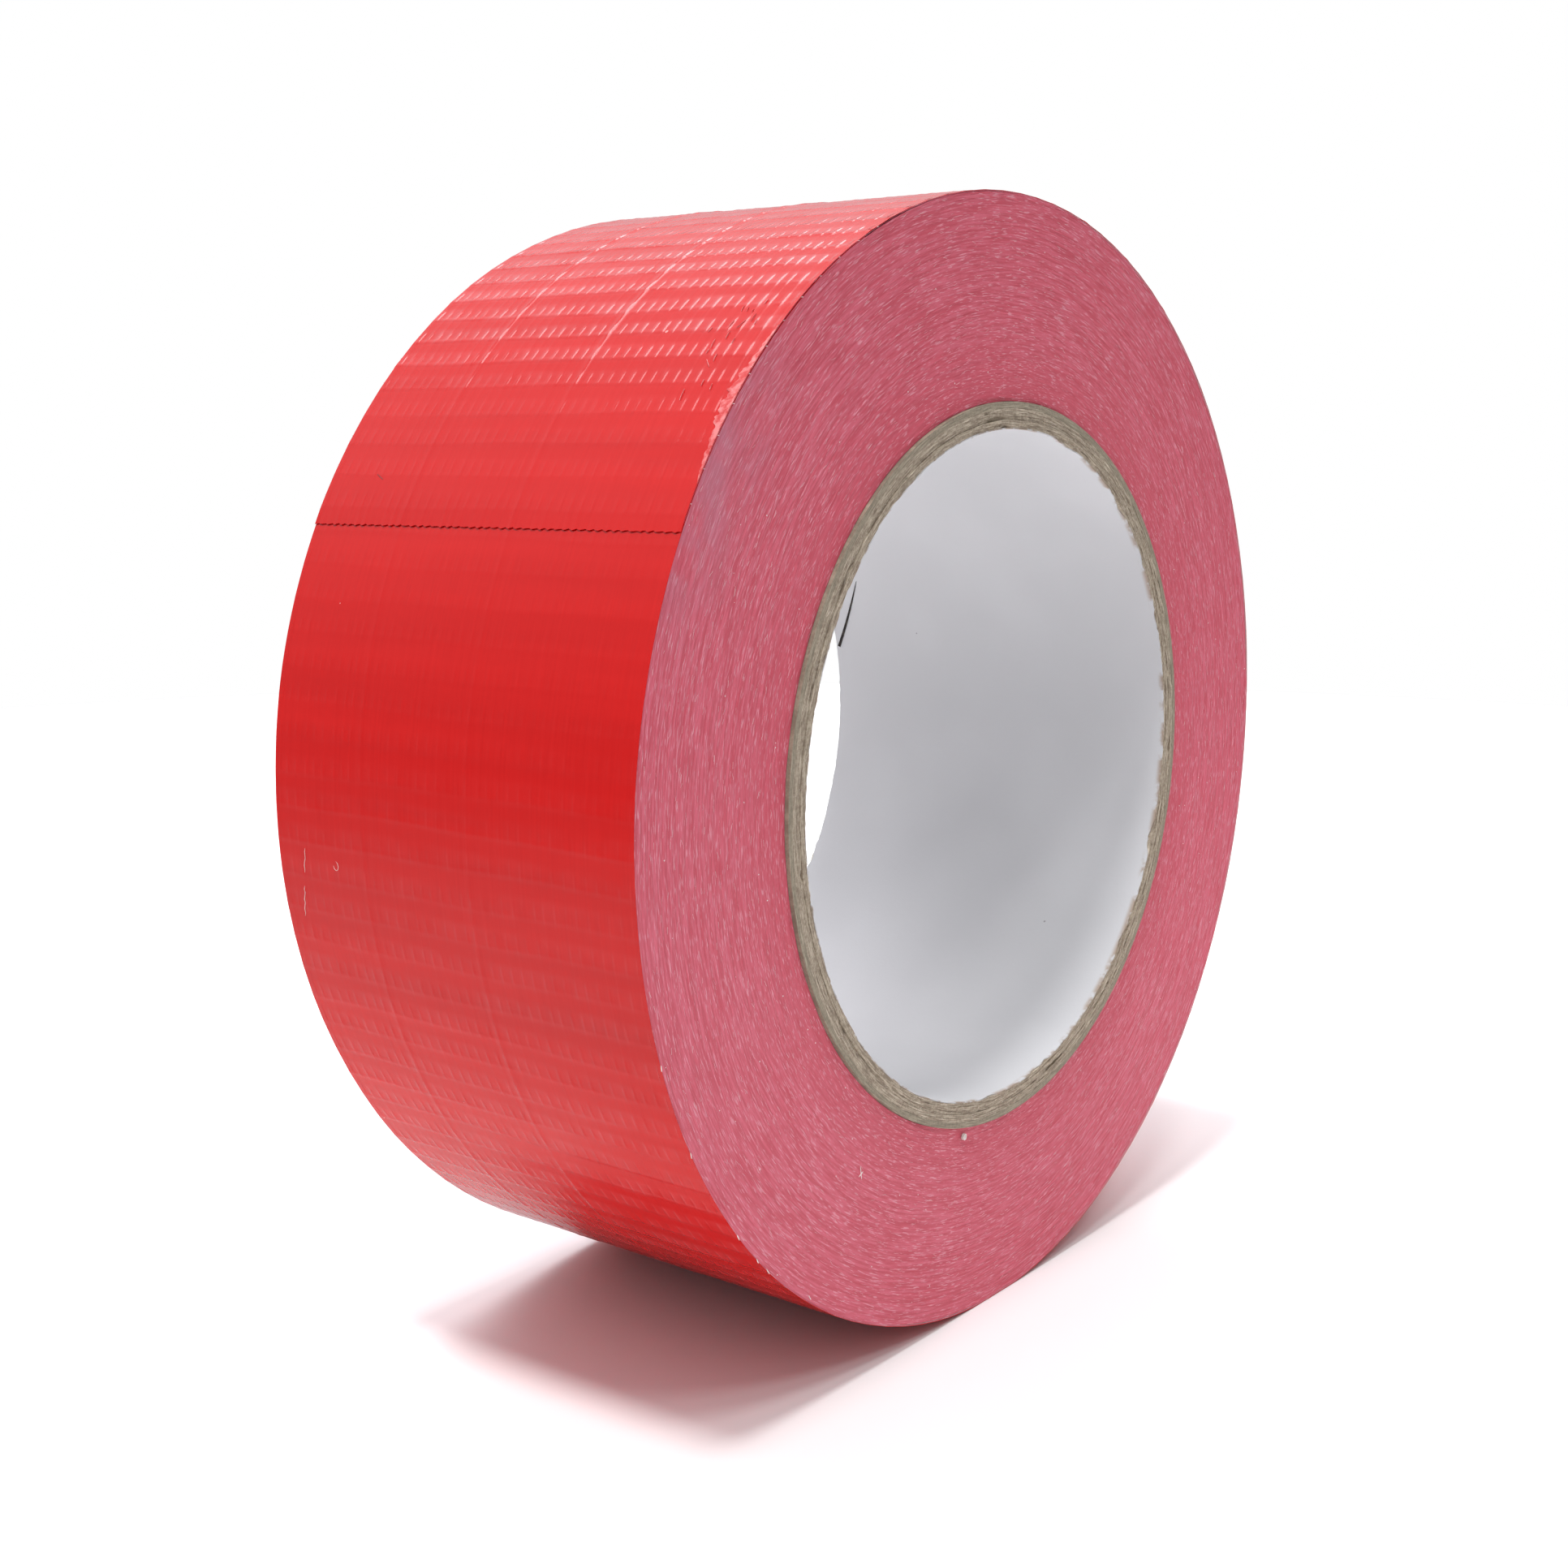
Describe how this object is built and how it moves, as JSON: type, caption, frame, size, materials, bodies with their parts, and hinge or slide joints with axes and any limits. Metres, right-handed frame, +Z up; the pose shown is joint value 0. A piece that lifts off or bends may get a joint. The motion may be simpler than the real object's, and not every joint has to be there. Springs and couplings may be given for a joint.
{
  "type": "duct tape roll",
  "caption": "Roll of red fabric-backed duct tape on a board core, standing on its rim, with a pinked loose end that peels up.",
  "frame": {"origin": "on the floor under the centre of the roll, at the middle of the core's length", "axes": "+Z up, the roll's axis along Y with its front face towards -Y, the loose end of the tape on the -X side"},
  "size_m": [0.1274, 0.0516, 0.1273],
  "materials": {
    "red_film": "satin",
    "turn_edges": "satin",
    "scrim": "matte",
    "adhesive": "satin",
    "core_board": "matte",
    "liner_paper": "matte"
  },
  "bodies": {
    "roll": {"core_liner": "liner_paper", "core_ply_1": "core_board", "core_ply_2": "core_board", "core_ply_3": "core_board", "core_ply_4": "core_board", "core_ply_5": "core_board", "core_outer_ply": "core_board", "wound_pack": "turn_edges", "outer_turn_film": "red_film", "outer_turn_scrim": "scrim", "outer_turn_adhesive": "adhesive"},
    "tail": {"tail_film": "red_film", "tail_scrim": "scrim", "tail_adhesive": "adhesive"}
  },
  "joints": [
    {"name": "tail_peel", "type": "hinge", "parent": "roll", "child": "tail", "pos_m": [-0.02821, 0, 0.12077], "axis": [0, 1, 0], "range_deg": [0, 120]}
  ]
}
